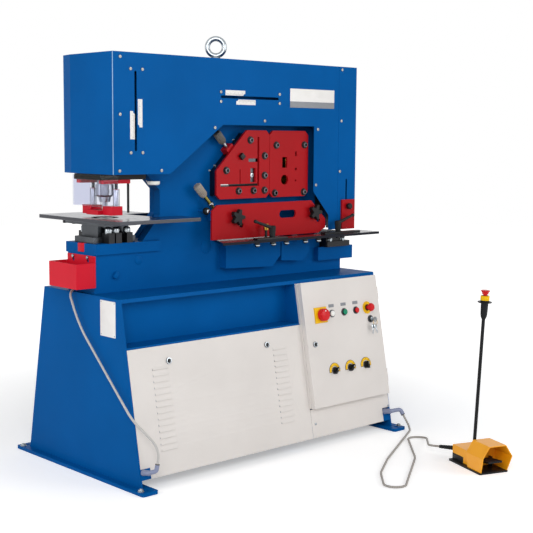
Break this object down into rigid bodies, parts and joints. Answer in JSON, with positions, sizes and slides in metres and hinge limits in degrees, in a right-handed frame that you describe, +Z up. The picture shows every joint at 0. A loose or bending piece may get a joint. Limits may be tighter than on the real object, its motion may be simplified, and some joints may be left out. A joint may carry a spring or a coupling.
{
  "type": "ironworker machine",
  "caption": "Hydraulic ironworker on a sheet metal base: punching throat with table, angle, bar and flat shears, notcher, control cabinet and a foot pedal on a cable.",
  "frame": {"origin": "on the floor, in the middle of the four anchor holes in the foot plates", "axes": "+X along the machine from the punching end to the notching end, +Y from the operator's side to the back, +Z up"},
  "size_m": [1.6815, 1.7547, 1.897],
  "materials": {
    "blue_paint": "gloss",
    "white_paint": "satin",
    "red_paint": "gloss",
    "bright_red_paint": "gloss",
    "bright_steel": "satin",
    "dark_steel": "satin",
    "black_oxide": "satin",
    "black_plastic": "matte",
    "grey_plastic": "satin",
    "yellow_plastic": "satin",
    "red_plastic": "gloss",
    "green_plastic": "gloss",
    "clear_sheet": "gloss",
    "white_plastic": "gloss",
    "zinc": "gloss"
  },
  "bodies": {
    "machine": {"base_frame": "blue_paint", "front_panel": "white_paint", "lower_panel": "white_paint", "cabinet_box": "white_paint", "contactor_plate": "bright_steel", "machine_frame": "blue_paint", "top_cover": "blue_paint", "eye_bolt": "bright_steel", "angle_plate": "red_paint", "bar_plate": "red_paint", "blade_block": "dark_steel", "plate_bolts": "black_oxide", "feed_table": "dark_steel", "notcher_die": "black_oxide", "punch_table": "dark_steel", "bolster": "dark_steel", "bolster_clamps": "black_oxide", "punch_cylinder": "black_oxide", "stripper": "red_paint", "punch_guard": "clear_sheet", "work_lamp": "white_plastic", "shear_cylinder": "black_oxide", "oil_tank": "blue_paint", "power_unit": "black_oxide", "pedal_base": "black_plastic", "pedal_hood": "yellow_plastic", "pedal_post": "black_oxide", "conduit": "grey_plastic", "pedal_cable": "grey_plastic", "cable_glands": "grey_plastic"},
    "slug_box": {"slug_box": "bright_red_paint"},
    "punch_ram": {"punch_ram": "bright_steel"},
    "shear_beam": {"shear_beam": "dark_steel"},
    "shear_rod": {"shear_rod": "bright_steel"},
    "hold_down_plate": {"hold_down_plate": "red_paint"},
    "star_knob_left": {"star_knob_left": "black_plastic"},
    "star_knob_right": {"star_knob_right": "black_plastic"},
    "spindle_upper": {"spindle_upper": "grey_plastic"},
    "spindle_lower": {"spindle_lower": "grey_plastic"},
    "stop_left": {"stop_left": "black_oxide"},
    "stop_right": {"stop_right": "black_oxide"},
    "lever_left": {"lever_left": "black_plastic"},
    "lever_right": {"lever_right": "black_plastic"},
    "notcher_guard": {"notcher_guard": "red_paint"},
    "notcher_knob": {"notcher_knob": "black_plastic"},
    "cabinet_door": {"cabinet_door": "white_paint", "control_bezels": "zinc"},
    "main_switch": {"main_switch": "red_plastic"},
    "start_button": {"start_button": "green_plastic"},
    "stop_button": {"stop_button": "red_plastic"},
    "emergency_stop": {"emergency_stop": "red_plastic"},
    "key_switch": {"key_switch": "bright_steel"},
    "selector_1": {"selector_1": "black_plastic"},
    "selector_2": {"selector_2": "black_plastic"},
    "selector_3": {"selector_3": "black_plastic"},
    "door_lock": {"door_lock": "dark_steel"},
    "panel_lock_left": {"panel_lock_left": "dark_steel"},
    "panel_lock_right": {"panel_lock_right": "dark_steel"},
    "treadle": {"treadle": "black_plastic"},
    "pedal_stop": {"pedal_stop": "red_plastic"}
  },
  "joints": [
    {"name": "punch_stroke", "type": "slide", "parent": "machine", "child": "punch_ram", "axis": [0, 0, -1], "range_m": [0, 0.055]},
    {"name": "shear_swing", "type": "hinge", "parent": "machine", "child": "shear_beam", "pos_m": [-0.23, 0.024, 1.1], "axis": [0, 1, 0], "range_deg": [0, 4]},
    {"name": "shear_stroke", "type": "slide", "parent": "machine", "child": "shear_rod", "axis": [0, 0, -1], "range_m": [0, 0.061]},
    {"name": "hold_down_lift", "type": "slide", "parent": "machine", "child": "hold_down_plate", "axis": [-0.7071, 0, 0.7071], "range_m": [0, 0.034]},
    {"name": "star_knob_left_turn", "type": "hinge", "parent": "machine", "child": "star_knob_left", "pos_m": [-0.038, -0.175, 1.072], "axis": [0, -1, 0], "continuous": true},
    {"name": "star_knob_right_turn", "type": "hinge", "parent": "machine", "child": "star_knob_right", "pos_m": [0.462, -0.175, 1.076], "axis": [0, -1, 0], "continuous": true},
    {"name": "spindle_upper_turn", "type": "hinge", "parent": "machine", "child": "spindle_upper", "pos_m": [-0.037, -0.107, 1.379], "axis": [-0.682, 0, 0.7314], "continuous": true},
    {"name": "spindle_lower_turn", "type": "hinge", "parent": "machine", "child": "spindle_lower", "pos_m": [-0.106, -0.116, 1.088], "axis": [-0.682, 0, 0.7314], "continuous": true},
    {"name": "stop_left_slide", "type": "slide", "parent": "machine", "child": "stop_left", "axis": [1, 0, 0], "range_m": [-0.04, 0.04]},
    {"name": "stop_right_slide", "type": "slide", "parent": "machine", "child": "stop_right", "axis": [1, 0, 0], "range_m": [-0.04, 0.04]},
    {"name": "lever_left_turn", "type": "hinge", "parent": "stop_left", "child": "lever_left", "pos_m": [0.115, -0.245, 1.004], "axis": [0, 0, 1], "range_deg": [0, 90]},
    {"name": "lever_right_turn", "type": "hinge", "parent": "stop_right", "child": "lever_right", "pos_m": [0.59, -0.209, 1.004], "axis": [0, 0, -1], "range_deg": [0, 90]},
    {"name": "notcher_guard_lift", "type": "slide", "parent": "machine", "child": "notcher_guard", "axis": [0, 0, 1], "range_m": [0, 0.1]},
    {"name": "notcher_knob_turn", "type": "hinge", "parent": "notcher_guard", "child": "notcher_knob", "pos_m": [0.687, -0.186, 1.098], "axis": [0, -1, 0], "continuous": true},
    {"name": "slug_box_lift", "type": "slide", "parent": "machine", "child": "slug_box", "axis": [0, 0, 1], "range_m": [0, 0.014]},
    {"name": "door_open", "type": "hinge", "parent": "machine", "child": "cabinet_door", "pos_m": [0.753, -0.3619, 0.48157], "axis": [0, 0.1844, 0.9829], "range_deg": [0, 110]},
    {"name": "main_switch_turn", "type": "hinge", "parent": "cabinet_door", "child": "main_switch", "pos_m": [0.337, -0.35968, 0.60731], "axis": [0, -0.9829, 0.1844], "range_deg": [-90, 0]},
    {"name": "start_press", "type": "slide", "parent": "cabinet_door", "child": "start_button", "axis": [0, 0.9829, -0.1844], "range_m": [0, 0.004], "stiffness_N_per_m": 400, "springref_m": -0.003},
    {"name": "stop_press", "type": "slide", "parent": "cabinet_door", "child": "stop_button", "axis": [0, 0.9829, -0.1844], "range_m": [0, 0.004], "stiffness_N_per_m": 400, "springref_m": -0.003},
    {"name": "emergency_stop_press", "type": "slide", "parent": "cabinet_door", "child": "emergency_stop", "axis": [0, 0.9829, -0.1844], "range_m": [0, 0.006], "stiffness_N_per_m": 400, "springref_m": -0.003},
    {"name": "key_turn", "type": "hinge", "parent": "cabinet_door", "child": "key_switch", "pos_m": [0.671, -0.36926, 0.5562], "axis": [0, -0.9829, 0.1844], "range_deg": [-90, 0]},
    {"name": "selector_1_turn", "type": "hinge", "parent": "cabinet_door", "child": "selector_1", "pos_m": [0.382, -0.40909, 0.34391], "axis": [0, -0.9829, 0.1844], "range_deg": [0, 90]},
    {"name": "selector_2_turn", "type": "hinge", "parent": "cabinet_door", "child": "selector_2", "pos_m": [0.491, -0.40909, 0.34391], "axis": [0, -0.9829, 0.1844], "range_deg": [0, 90]},
    {"name": "selector_3_turn", "type": "hinge", "parent": "cabinet_door", "child": "selector_3", "pos_m": [0.6, -0.40909, 0.34391], "axis": [0, -0.9829, 0.1844], "range_deg": [-45, 45]},
    {"name": "door_lock_turn", "type": "hinge", "parent": "cabinet_door", "child": "door_lock", "pos_m": [0.273, -0.36927, 0.47481], "axis": [0, -0.9829, 0.1844], "range_deg": [-90, 0]},
    {"name": "panel_lock_left_turn", "type": "hinge", "parent": "machine", "child": "panel_lock_left", "pos_m": [-0.56, -0.3337, 0.50171], "axis": [0, -0.9829, 0.1844], "range_deg": [-90, 0]},
    {"name": "panel_lock_right_turn", "type": "hinge", "parent": "machine", "child": "panel_lock_right", "pos_m": [0, -0.3337, 0.50171], "axis": [0, -0.9829, 0.1844], "range_deg": [-90, 0]},
    {"name": "treadle_press", "type": "hinge", "parent": "machine", "child": "treadle", "pos_m": [0.55145, -1.13849, 0.04], "axis": [0.9397, -0.342, 0], "range_deg": [0, 10], "stiffness_Nm_per_rad": 3, "springref_deg": -8.59},
    {"name": "pedal_stop_press", "type": "slide", "parent": "machine", "child": "pedal_stop", "axis": [0, 0.0523, -0.9986], "range_m": [0, 0.006], "stiffness_N_per_m": 600, "springref_m": -0.003}
  ],
  "couplings": [
    {"joint": "shear_stroke", "follows": "shear_swing", "m_per_rad": 0.87}
  ]
}
